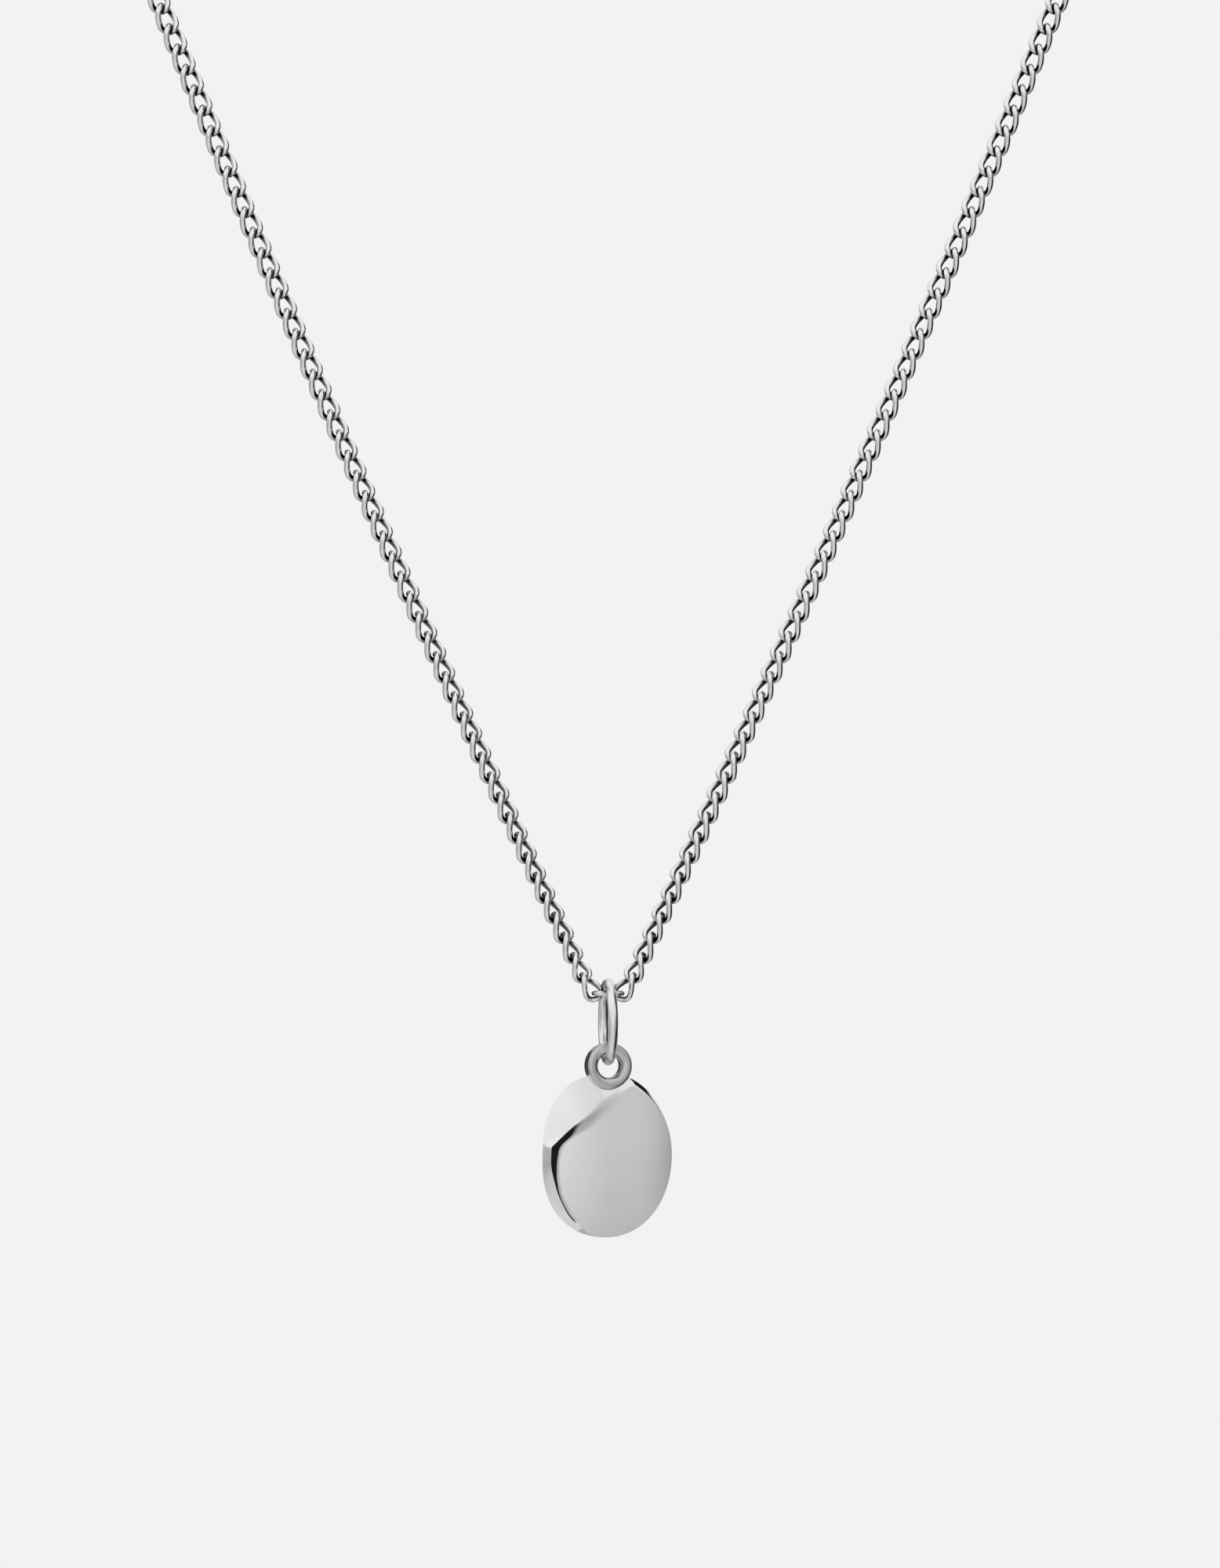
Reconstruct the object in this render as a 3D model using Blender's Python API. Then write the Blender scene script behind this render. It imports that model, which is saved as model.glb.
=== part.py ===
"""Pendant necklace: a polished oval pendant hangs from a jump ring on a curb chain that closes with a
lobster clasp at the nape. Metres, +Z up, worn front towards -Y, origin at the nape on the clasp."""

import math

import bpy
from mathutils import Quaternion, Vector

MM = 0.001

# Curb chain
WIRE_DIAMETER = 0.50 * MM
LINK_WIDTH = 2.10 * MM
LINK_PITCH = 2.05 * MM
LINK_PLAY = 0.05 * MM
LINK_TWIST = math.radians(45)
LINKS_PER_SIDE = 130

# How the chain is divided, counted in links from the pendant up each side
SINGLE_LINKS = 6
FRONT_RUNS = 4
FRONT_RUN_LINKS = 11
UPPER_RUN_LINKS = 16
NECK_RUNS = 4

# Drape of the front, a loaded catenary in an upright plane
FIRST_LINK_TILT = math.radians(33)
FIRST_LINK_ROLL = math.radians(47)
CATENARY_SCALE = 288 * MM
CATENARY_START_SLOPE = 2.13
ROLL_AT_PENDANT = math.radians(58)
ROLL_PER_LINK = math.radians(0.80)

# Curve round the neck
NAPE_RISE = 46 * MM
SHOULDER_HANDLE = 36 * MM
NAPE_HANDLE = 62 * MM

# Jump ring that carries the pendant
RING_DIAMETER = 8.10 * MM
RING_WIRE = 0.95 * MM
RING_YAW = math.radians(7.5)
RING_PLAY = 0.07 * MM

# Pendant
EYELET_DIAMETER = 4.25 * MM
EYELET_HOLE = 2.20 * MM
EYELET_THICKNESS = 1.70 * MM
EYELET_CHAMFER = 0.30 * MM
EYELET_PLAY = 0.12 * MM
EYELET_OVERLAP = 1.45 * MM
SOLDER_GAP = 0.05 * MM
DISC_WIDTH = 12.30 * MM
DISC_HEIGHT = 15.30 * MM
DISC_THICKNESS = 2.40 * MM
DISC_YAW = math.radians(16)
DISC_EDGE_POWER = 5.0
CREASE_START = (-0.78, 0.10)
CREASE_END = (0.20, 0.80)
CREASE_SLOPE = 0.16
CREASE_SOFT_START = 0.25 * MM
CREASE_SOFT_END = 2.40 * MM

# Lobster clasp, laid along X with its flat side against the nape
CLASP_RING_BORE = 3.00 * MM
CLASP_RING_WIRE = 0.60 * MM
CLASP_PLAY = 0.05 * MM
HOOK_TIP_X = -4.40 * MM
HOOK_WIRE = 1.20 * MM
HOOK_RISE = 1.95 * MM
HOOK_END_DROP = 1.35 * MM
HOOK_END_WIRE = 0.90 * MM
TAIL_BORE = 1.50 * MM
TAIL_WALL = 0.60 * MM
TAIL_THICKNESS = 1.20 * MM
BLOCK_LENGTH = 2.60 * MM
BLOCK_HEIGHT = 2.40 * MM
BLOCK_SHOULDER_HEIGHT = 2.20 * MM
BLOCK_END_HEIGHT = 1.55 * MM
BLOCK_THICKNESS = 2.00 * MM
SLOT_LEVER_SIDE = 0.45 * MM
SLOT_SPRING_SIDE = 0.75 * MM
PIN_DIAMETER = 0.70 * MM
PIN_CLEARANCE = 0.04 * MM
LEVER_THICKNESS = 0.80 * MM
LEVER_DROP = 2.00 * MM
LEVER_TIP_WIRE = 0.60 * MM
LEVER_TIP_GAP = 0.16 * MM
PIVOT_X = 1.20 * MM
PIVOT_DROP = 0.60 * MM
TAB_REACH = 1.80 * MM
SPRING_WIRE = 0.10 * MM
SPRING_TURNS = 2

# Facets of a link: corners along its wire, and sides round the wire
SINGLE_CORNERS = 12
SINGLE_SIDES = 6
RUN_CORNERS = 8
FRONT_SIDES = 4
NECK_SIDES = 3

SILVER = (0.80, 0.80, 0.79)
STEEL = (0.62, 0.62, 0.63)

WIRE_RADIUS = WIRE_DIAMETER / 2
LINK_HALF_LENGTH = (LINK_PITCH + WIRE_DIAMETER + LINK_PLAY) / 2
LINK_HALF_WIDTH = (LINK_WIDTH - WIRE_DIAMETER) / 2
RING_RADIUS = (RING_DIAMETER - RING_WIRE) / 2
CLASP_RING_RADIUS = (CLASP_RING_BORE + CLASP_RING_WIRE) / 2


for old in list(bpy.data.objects):
    bpy.data.objects.remove(old)


def metal(name, colour, roughness):
    material = bpy.data.materials.new(name)
    material.use_nodes = True
    shader = material.node_tree.nodes["Principled BSDF"]
    shader.inputs["Base Color"].default_value = (*colour, 1)
    shader.inputs["Metallic"].default_value = 1
    shader.inputs["Roughness"].default_value = roughness
    return material


def signed_volume(points, faces):
    corner = points[0]
    total = 0.0
    for face in faces:
        first = points[face[0]] - corner
        for second, third in zip(face[1:-1], face[2:]):
            total += first.dot((points[second] - corner).cross(points[third] - corner))
    return total


def add_solid(name, points, faces, pivot, material):
    """One named object whose origin is the pivot, with its faces pointing out."""
    if signed_volume(points, faces) < 0:
        faces = [tuple(reversed(face)) for face in faces]
    mesh = bpy.data.meshes.new(name)
    mesh.from_pydata([point - pivot for point in points], [], faces)
    mesh.materials.append(material)
    mesh.shade_smooth()
    mesh.set_sharp_from_angle(angle=math.radians(50))
    solid = bpy.data.objects.new(name, mesh)
    bpy.context.scene.collection.objects.link(solid)
    solid.parent = necklace
    solid.location = pivot
    return solid


def combine(target, operation, cutters):
    """Boolean the cutters into the target, and leave them as hidden guides."""
    for cutter in cutters:
        cutter.hide_render = True
        cutter.display_type = "WIRE"
        modifier = target.modifiers.new(cutter.name, "BOOLEAN")
        modifier.operation = operation
        modifier.object = cutter


def flat_radius(radius, sides):
    """Distance from the centre to the flats of a many-sided section as large in area as the round one."""
    return radius * math.sqrt(math.pi / (sides * math.tan(math.pi / sides)))


def tube_faces(rings, sides, closed):
    """Quads between successive rings of points, with caps on an open tube."""
    faces = []
    for i in range(rings if closed else rings - 1):
        near = i * sides
        far = (i + 1) % rings * sides
        for j in range(sides):
            k = (j + 1) % sides
            faces.append((near + j, near + k, far + k, far + j))
    if not closed:
        faces.append(tuple(reversed(range(sides))))
        faces.append(tuple(range((rings - 1) * sides, rings * sides)))
    return faces


def torus(centre, radius, wire, right, up, rings, sides):
    """A round wire bent to a circle in the plane of the right and up directions."""
    points = []
    across = right.cross(up)
    for i in range(rings):
        turn = math.tau * i / rings
        outward = right * math.cos(turn) + up * math.sin(turn)
        for j in range(sides):
            roll = math.tau * j / sides
            reach = radius + wire / 2 * math.cos(roll)
            points.append(centre + outward * reach + across * (wire / 2 * math.sin(roll)))
    return points, tube_faces(rings, sides, True)


def lathe(profile, centre, right, up, count):
    """A ring turned from a closed profile of radius and height, about the right x up direction."""
    axis = right.cross(up)
    points = []
    for i in range(count):
        turn = math.tau * i / count
        outward = right * math.cos(turn) + up * math.sin(turn)
        points.extend(centre + outward * radius + axis * height for radius, height in profile)
    return points, tube_faces(count, len(profile), True)


def bar(path, radii, depth, sides):
    """A bent bar along a path in the XZ plane; depth is half its size along Y, None where it is round."""
    points = []
    for i, (middle, radius) in enumerate(zip(path, radii)):
        along = (path[min(i + 1, len(path) - 1)] - path[max(i - 1, 0)]).normalized()
        side = Vector((along.z, 0, -along.x))
        thick = radius if depth is None else depth
        for j in range(sides):
            turn = math.tau * (j + 0.5) / sides
            rim = side * (radius * math.cos(turn)) + Vector((0, thick * math.sin(turn), 0))
            points.append(middle + rim)
    return points, tube_faces(len(path), sides, False)


def disc_along_y(centre, radius, thickness, count):
    """A short cylinder along Y."""
    points = []
    for y in (-thickness / 2, thickness / 2):
        for j in range(count):
            turn = math.tau * j / count
            points.append(centre + Vector((radius * math.cos(turn), y, radius * math.sin(turn))))
    return points, tube_faces(2, count, False)


def block(low, high):
    """A square box between two corners."""
    outline = [(low.x, low.z), (high.x, low.z), (high.x, high.z), (low.x, high.z)]
    near = [Vector((x, low.y, z)) for x, z in outline]
    far = [Vector((point.x, high.y, point.z)) for point in near]
    return near + far, tube_faces(2, 4, False)


def smooth_path(spots, steps):
    """A Catmull-Rom curve through the spots, which also hold a radius in their last value."""
    curve = []
    for i in range(len(spots) - 1):
        before = spots[max(i - 1, 0)]
        start = spots[i]
        end = spots[i + 1]
        after = spots[min(i + 2, len(spots) - 1)]
        for step in range(steps):
            t = step / steps
            square = 2 * before - 5 * start + 4 * end - after
            cube = 3 * start - before - 3 * end + after
            curve.append(start + (end - before + square * t + cube * t * t) * (t / 2))
    curve.append(spots[-1])
    return curve


def front_spot(length):
    """Point of the drape, in the front plane, after a length of chain from the first link's upper end."""
    slope = CATENARY_START_SLOPE + length / CATENARY_SCALE
    across = math.asinh(slope) - math.asinh(CATENARY_START_SLOPE)
    rise = math.hypot(1, slope) - math.hypot(1, CATENARY_START_SLOPE)
    return Vector((-CATENARY_SCALE * across, 0, CATENARY_SCALE * rise))


def neck_curve(start, heading, end, samples=400):
    """Points of the curve from the top of the front, up over the shoulder and round to the nape."""
    first = start + heading * SHOULDER_HANDLE
    last = end - Vector((NAPE_HANDLE, 0, 0))
    curve = []
    for i in range(samples + 1):
        t = i / samples
        s = 1 - t
        curve.append(start * s**3 + first * (3 * s * s * t) + last * (3 * s * t * t) + end * t**3)
    return curve


def curve_length(curve):
    return sum((b - a).length for a, b in zip(curve, curve[1:]))


def spaced(curve, count):
    """The points that divide a curve into equal lengths, without its first point."""
    step = curve_length(curve) / count
    spots = []
    run = 0.0
    for a, b in zip(curve, curve[1:]):
        length = (b - a).length
        while run + length >= step * (len(spots) + 1) and len(spots) < count - 1:
            spots.append(a.lerp(b, (step * (len(spots) + 1) - run) / length))
        run += length
    return spots + [curve[-1]]


def left_junctions(chain_end_x):
    """Points where the links of the wearer's right, the viewer's left, hook into each other."""
    first_axis = Vector((-math.sin(FIRST_LINK_TILT), 0, math.cos(FIRST_LINK_TILT)))
    middle_end = Vector((-LINK_HALF_LENGTH, 0, 0))
    spots = [middle_end - first_axis * ((WIRE_DIAMETER + LINK_PLAY) / 2)]
    spots.append(spots[0] + first_axis * LINK_PITCH)
    front_links = SINGLE_LINKS + FRONT_RUNS * FRONT_RUN_LINKS + UPPER_RUN_LINKS
    for k in range(1, front_links):
        spots.append(spots[1] + front_spot(k * LINK_PITCH))
    heading = (spots[-1] - spots[-2]).normalized()
    neck_links = LINKS_PER_SIDE - front_links
    shallow = 0.0
    deep = neck_links * LINK_PITCH
    for _ in range(60):
        depth = (shallow + deep) / 2
        nape = Vector((-chain_end_x, depth, spots[-1].z + NAPE_RISE))
        curve = neck_curve(spots[-1], heading, nape)
        if curve_length(curve) < neck_links * LINK_PITCH:
            shallow = depth
        else:
            deep = depth
    return spots + spaced(curve, neck_links)


def link_frames(spots):
    """Centre, width direction and axis of each link. The first link sits about square in the middle link,
    and the others roll from near edge-on at the pendant to flat on the neck."""
    axes = [(b - a).normalized() for a, b in zip(spots, spots[1:])]
    width = Vector((axes[0].z, 0, -axes[0].x))
    widths = [width]
    for a, b in zip(axes, axes[1:]):
        width = a.rotation_difference(b) @ width
        widths.append(width)
    upright = Vector((0, 0, 1))
    last = len(axes) - 1
    sine = axes[last].dot(widths[last].cross(upright))
    end_roll = math.atan2(sine, widths[last].dot(upright)) - LINK_TWIST
    flat_link = round(ROLL_AT_PENDANT / ROLL_PER_LINK)
    frames = []
    for k, (axis, width) in enumerate(zip(axes, widths)):
        if k == 0:
            roll = FIRST_LINK_ROLL
        elif k < flat_link:
            roll = ROLL_AT_PENDANT - k * ROLL_PER_LINK
        else:
            roll = end_roll * (k - flat_link) / (last - flat_link)
        frames.append(((spots[k] + spots[k + 1]) / 2, Quaternion(axis, roll) @ width, axis))
    return frames


def link_points(frame, twist, corners, sides):
    """Rings of points round one link's wire; the middle of each end is a flat that faces into the link."""
    centre, width, axis = frame
    flat = flat_radius(WIRE_RADIUS, sides)
    stretch = 1 / math.cos(math.pi / corners)
    spine = []
    outward = []
    for i in range(corners):
        turn = math.tau * (i + 0.5) / corners
        straight = math.copysign(LINK_HALF_LENGTH - LINK_HALF_WIDTH, math.cos(turn))
        along = straight + LINK_HALF_WIDTH * stretch * math.cos(turn)
        beside = LINK_HALF_WIDTH * stretch * math.sin(turn)
        spoke = Quaternion(axis, twist * along / LINK_HALF_LENGTH) @ width
        spine.append(centre + axis * along + spoke * beside)
        outward.append(axis * math.cos(turn) + spoke * math.sin(turn))
    points = []
    for i in range(corners):
        tangent = (spine[(i + 1) % corners] - spine[i - 1]).normalized()
        out = (outward[i] - tangent * outward[i].dot(tangent)).normalized()
        side = tangent.cross(out)
        for j in range(sides):
            turn = math.pi + math.tau * (j + 0.5) / sides
            reach = flat / math.cos(math.pi / sides)
            points.append(spine[i] + out * (reach * math.cos(turn)) + side * (reach * math.sin(turn)))
    return points


def nearest_turn(points, fixed, loop):
    """The loop started at the corner that brings its corners nearest to the fixed loop's."""
    turns = [loop[start:] + loop[:start] for start in range(len(loop))]

    def apart(turn):
        return sum((points[a] - points[b]).length for a, b in zip(fixed, turn))

    return min(turns, key=apart)


def joined_links(frames, inner_sides):
    """A run of links as one solid: each touches the next across the play between two facing flats."""
    points = []
    faces = []
    upper_end = None
    for frame in frames:
        base = len(points)
        sides = FRONT_SIDES if frame in (frames[0], frames[-1]) else inner_sides
        points.extend(link_points(frame, LINK_TWIST, RUN_CORNERS, sides))
        quads = tube_faces(RUN_CORNERS, sides, True)
        top = quads[(RUN_CORNERS - 1) * sides + sides - 1]
        bottom = quads[(RUN_CORNERS // 2 - 1) * sides + sides - 1]
        dropped = [bottom] if upper_end else []
        if frame is not frames[-1]:
            dropped.append(top)
        faces.extend(tuple(base + v for v in quad) for quad in quads if quad not in dropped)
        if upper_end:
            loop = [base + v for v in reversed(bottom)]
            facing = nearest_turn(points, upper_end, loop)
            for i in range(4):
                k = (i + 1) % 4
                faces.append((upper_end[i], upper_end[k], facing[k], facing[i]))
        upper_end = [base + v for v in top]
    return points, faces


def mirrored(points):
    return [Vector((-point.x, point.y, point.z)) for point in points]


def add_pair(name, points, faces, pivot, material):
    """The same chain piece on the left and mirrored on the right, both turning about one axis along X."""
    add_solid("left_" + name, points, faces, pivot, material)
    add_solid("right_" + name, mirrored(points), faces, pivot, material)


def hinge_line(junction):
    return Vector((0, junction.y, junction.z))


def add_chain(spots, material):
    frames = link_frames(spots)
    middle = (Vector((0, 0, 0)), Vector((0, 1, 0)), Vector((1, 0, 0)))
    quads = tube_faces(SINGLE_CORNERS, SINGLE_SIDES, True)
    points = link_points(middle, 0.0, SINGLE_CORNERS, SINGLE_SIDES)
    add_solid("centre_link", points, quads, hinge_line(spots[0]), material)
    for k in range(SINGLE_LINKS):
        points = link_points(frames[k], LINK_TWIST, SINGLE_CORNERS, SINGLE_SIDES)
        add_pair(f"link_{k + 1}", points, quads, hinge_line(spots[k + 1]), material)
    first = SINGLE_LINKS
    for run in range(FRONT_RUNS + 1):
        upper = run == FRONT_RUNS
        last = first + (UPPER_RUN_LINKS if upper else FRONT_RUN_LINKS)
        name = "upper_run" if upper else f"front_run_{run + 1}"
        points, faces = joined_links(frames[first:last], NECK_SIDES if upper else FRONT_SIDES)
        add_pair(name, points, faces, hinge_line(spots[last]), material)
        first = last
    for run in range(NECK_RUNS):
        last = first + round((LINKS_PER_SIDE - first) / (NECK_RUNS - run))
        points, faces = joined_links(frames[first:last], NECK_SIDES)
        add_pair(f"neck_run_{run + 1}", points, faces, hinge_line(spots[-1]), material)
        first = last


def add_jump_ring(material):
    """The ring rests on both wires of the middle link; returns its centre and its lowest wire's centre."""
    seat = RING_RADIUS - RING_WIRE / 2 - WIRE_RADIUS - RING_PLAY
    centre = Vector((0, 0, -math.sqrt(seat**2 - LINK_HALF_WIDTH**2)))
    front = Vector((math.sin(RING_YAW), -math.cos(RING_YAW), 0))
    points, faces = torus(centre, RING_RADIUS, RING_WIRE, front, Vector((0, 0, 1)), 28, 8)
    add_solid("jump_ring", points, faces, centre, material)
    return centre, centre - Vector((0, 0, RING_RADIUS))


def crease_depth(u, w):
    """How far the face falls back beyond its crease, which is sharp at its start and soft at its end."""
    start = Vector(CREASE_START)
    run = Vector(CREASE_END) - start
    half = Vector((DISC_WIDTH / 2, DISC_HEIGHT / 2))
    offset = Vector((u, w)) - start
    share = min(max(offset.dot(run) / run.dot(run), 0.0), 1.0)
    heading = (run * half).normalized()
    beyond = heading.x * offset.y * half.y - heading.y * offset.x * half.x
    soft = CREASE_SOFT_START + share * (CREASE_SOFT_END - CREASE_SOFT_START)
    return CREASE_SLOPE * (beyond + math.hypot(beyond, soft)) / 2


def add_pendant(wire_centre, material):
    right = Vector((math.cos(DISC_YAW), math.sin(DISC_YAW), 0))
    up = Vector((0, 0, 1))
    back = up.cross(right)
    eyelet_centre = wire_centre - up * (EYELET_HOLE / 2 - RING_WIRE / 2 - EYELET_PLAY)
    half = EYELET_THICKNESS / 2
    outer = EYELET_DIAMETER / 2
    bore = EYELET_HOLE / 2
    cut = EYELET_CHAMFER
    section = [(bore, -half + cut), (bore + cut, -half), (outer - cut / 2, -half), (outer, -half + cut / 2),
               (outer, half - cut / 2), (outer - cut / 2, half), (bore + cut, half), (bore, half - cut)]
    points, faces = lathe(section, eyelet_centre, right, up, 28)
    add_solid("pendant_eyelet", points, faces, wire_centre, material)

    top = eyelet_centre - up * (outer - EYELET_OVERLAP)
    disc_centre = top - up * (DISC_HEIGHT / 2)
    shares = [0.0, 0.35, 0.62, 0.80, 0.90, 0.96, 0.99, 1.0]
    count = 40
    rings = [(share, 1) for share in shares[1:]] + [(share, -1) for share in reversed(shares[1:-1])]
    points = []
    for share, facing in rings:
        depth = DISC_THICKNESS / 2 * math.sqrt(1 - share**DISC_EDGE_POWER)
        for i in range(count):
            turn = math.tau * i / count
            u = share * math.cos(turn)
            w = share * math.sin(turn)
            fall = crease_depth(u, w) / (DISC_THICKNESS / 2) if facing > 0 else 0.0
            across = right * (u * DISC_WIDTH / 2) + up * (w * DISC_HEIGHT / 2)
            points.append(disc_centre + across - back * (facing * depth * (1 - fall)))
    faces = tube_faces(len(rings), count, False)
    disc = add_solid("pendant_disc", points, faces, wire_centre, material)
    notch = disc_notch(eyelet_centre, right, up, material)
    combine(disc, "DIFFERENCE", [notch])


def disc_notch(eyelet_centre, right, up, material):
    """Guide: the round seat in the top of the disc where the eyelet is soldered in."""
    radius = EYELET_DIAMETER / 2 + SOLDER_GAP
    points = []
    for height in (-DISC_THICKNESS, DISC_THICKNESS):
        for i in range(28):
            turn = math.tau * i / 28
            out = right * math.cos(turn) + up * math.sin(turn)
            points.append(eyelet_centre + out * radius + right.cross(up) * height)
    return add_solid("eyelet_seat", points, tube_faces(2, 28, False), eyelet_centre, material)


def clasp_ring_x():
    """Distance from the middle of the clasp to the middle of the ring at either end."""
    return -HOOK_TIP_X - HOOK_WIRE / 2 - CLASP_PLAY - CLASP_RING_WIRE / 2 + CLASP_RING_RADIUS


def bend(x, z, half_width):
    """One point of a bent bar of the clasp, measured from the nape."""
    return Vector((x, z, half_width))


def bent_bar(bends, depth, steps, sides):
    curve = smooth_path(bends, steps)
    path = [nape + Vector((point.x, 0, point.y)) for point in curve]
    return bar(path, [point.z for point in curve], depth, sides)


def add_clasp(material, spring_material):
    ring_x = clasp_ring_x()
    along = Vector((1, 0, 0))
    deep = Vector((0, 1, 0))
    for name, side in (("end_ring", -1), ("clasp_ring", 1)):
        centre = nape + along * (side * ring_x)
        points, faces = torus(centre, CLASP_RING_RADIUS, CLASP_RING_WIRE, along, deep, 20, 6)
        add_solid(name, points, faces, nape, material)

    pivot = nape + Vector((PIVOT_X, 0, -PIVOT_DROP))
    tail_seat = math.sqrt((CLASP_RING_BORE / 2) ** 2 - (TAIL_THICKNESS / 2) ** 2)
    tail_x = ring_x - tail_seat + CLASP_PLAY - TAIL_BORE / 2
    tail = nape + along * tail_x
    block_x = tail_x - TAIL_BORE / 2 - BLOCK_LENGTH / 2
    barrel = [bend(block_x + BLOCK_LENGTH / 2, 0.0, BLOCK_END_HEIGHT / 2),
              bend(block_x + BLOCK_LENGTH / 4, 0.0, BLOCK_SHOULDER_HEIGHT / 2),
              bend(block_x, 0.0, BLOCK_HEIGHT / 2),
              bend(block_x - BLOCK_LENGTH / 4, 0.0, BLOCK_SHOULDER_HEIGHT / 2),
              bend(block_x - BLOCK_LENGTH / 2, 0.0, BLOCK_END_HEIGHT / 2)]
    body = add_solid("clasp_body", *bent_bar(barrel, BLOCK_THICKNESS / 2, 1, 12), nape, material)
    hook = [bend(block_x, BLOCK_HEIGHT * 0.18, HOOK_WIRE * 0.6),
            bend(block_x - BLOCK_LENGTH / 2, HOOK_RISE * 0.72, HOOK_WIRE * 0.55),
            bend(HOOK_TIP_X * 0.36, HOOK_RISE, HOOK_WIRE / 2),
            bend(HOOK_TIP_X * 0.79, HOOK_RISE * 0.72, HOOK_WIRE / 2),
            bend(HOOK_TIP_X, 0.0, HOOK_WIRE / 2),
            bend(HOOK_TIP_X + (HOOK_WIRE - HOOK_END_WIRE / 2) * 0.7, -HOOK_END_DROP, HOOK_END_WIRE / 2)]
    arm = add_solid("hook_arm", *bent_bar(hook, None, 4, 8), nape, material)
    tail_radius = TAIL_BORE / 2 + TAIL_WALL
    loop = add_solid("tail_loop", *disc_along_y(tail, tail_radius, TAIL_THICKNESS, 24), nape, material)
    combine(body, "UNION", [arm, loop])
    slot_low = nape + Vector((block_x - BLOCK_LENGTH, -SLOT_LEVER_SIDE, -BLOCK_HEIGHT))
    slot_high = pivot + Vector((PIN_DIAMETER * 1.9, SLOT_SPRING_SIDE, PIN_DIAMETER * 1.3))
    slot = add_solid("lever_slot", *block(slot_low, slot_high), nape, material)
    through = 2 * BLOCK_THICKNESS
    eye = add_solid("tail_eye", *disc_along_y(tail, TAIL_BORE / 2, through, 20), nape, material)
    bore_radius = PIN_DIAMETER / 2 + PIN_CLEARANCE
    bore = add_solid("pin_bore", *disc_along_y(pivot, bore_radius, through, 16), nape, material)
    combine(body, "DIFFERENCE", [slot, eye, bore])
    add_solid("clasp_pin", *disc_along_y(pivot, PIN_DIAMETER / 2, BLOCK_THICKNESS, 16), nape, material)

    reach = LEVER_THICKNESS / 2
    hook_end = hook[-1]
    tip_x = hook_end.x + HOOK_END_WIRE / 2 + LEVER_TIP_GAP
    lever_spots = [bend(tip_x, hook_end.y - LEVER_TIP_WIRE * 0.42, LEVER_TIP_WIRE / 2),
                   bend(tip_x * 0.57, -LEVER_DROP, reach),
                   bend(tip_x * 0.06, -LEVER_DROP * 0.84, reach),
                   bend(PIVOT_X, -PIVOT_DROP, PIN_DIAMETER * 0.9)]
    knuckle = disc_along_y(pivot, PIN_DIAMETER, LEVER_THICKNESS, 16)
    lever = add_solid("clasp_lever", *knuckle, pivot, material)
    finger = add_solid("lever_arm", *bent_bar(lever_spots, reach * 0.9, 4, 8), pivot, material)
    tab_spots = [bend(PIVOT_X + PIN_DIAMETER * 0.2, -PIVOT_DROP - PIN_DIAMETER * 0.5, reach),
                 bend(PIVOT_X + TAB_REACH * 0.38, -PIVOT_DROP - TAB_REACH * 0.62, reach),
                 bend(PIVOT_X + TAB_REACH * 0.55, -PIVOT_DROP - TAB_REACH, reach)]
    tab = add_solid("lever_tab", *bent_bar(tab_spots, reach * 0.9, 3, 8), pivot, material)
    combine(lever, "UNION", [finger, tab])
    combine(lever, "DIFFERENCE", [bore])
    add_spring(pivot, reach, spring_material)


def add_spring(pivot, lever_reach, material):
    """Torsion coil round the pin, beside the lever."""
    radius = PIN_DIAMETER / 2 + PIN_CLEARANCE + SPRING_WIRE
    start = lever_reach + SPRING_WIRE
    travel = SLOT_SPRING_SIDE - SPRING_WIRE - start
    steps = 12 * SPRING_TURNS
    sides = 5
    points = []
    for i in range(steps + 1):
        turn = math.tau * i / 12
        out = Vector((math.cos(turn), 0, math.sin(turn)))
        along = pivot + Vector((0, start + travel * i / steps, 0))
        for j in range(sides):
            roll = math.tau * j / sides
            rim = out * math.cos(roll) + Vector((0, math.sin(roll), 0))
            points.append(along + out * radius + rim * (SPRING_WIRE / 2))
    add_solid("clasp_spring", points, tube_faces(steps + 1, sides, False), nape, material)


necklace = bpy.data.objects.new("necklace", None)
bpy.context.scene.collection.objects.link(necklace)

chain_silver = metal("chain_silver", SILVER, 0.16)
ring_silver = metal("ring_silver", SILVER, 0.12)
pendant_silver = metal("pendant_silver", SILVER, 0.08)
clasp_silver = metal("clasp_silver", SILVER, 0.18)
spring_steel = metal("spring_steel", STEEL, 0.30)

junctions = left_junctions(clasp_ring_x() + CLASP_RING_RADIUS - CLASP_RING_WIRE / 2)
nape = Vector((0, junctions[-1].y, junctions[-1].z))
necklace.location = -nape

add_chain(junctions, chain_silver)
ring_centre, ring_bottom = add_jump_ring(ring_silver)
add_pendant(ring_bottom, pendant_silver)
add_clasp(clasp_silver, spring_steel)
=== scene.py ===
"""Looks of the pendant necklace: fine links, jump ring, pendant and clasp in polished silver, in the frame of
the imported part. Metres, +Z up, worn front towards -Y, origin at the nape."""

import math

import bpy
import numpy as np
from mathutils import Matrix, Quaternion, Vector


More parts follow.
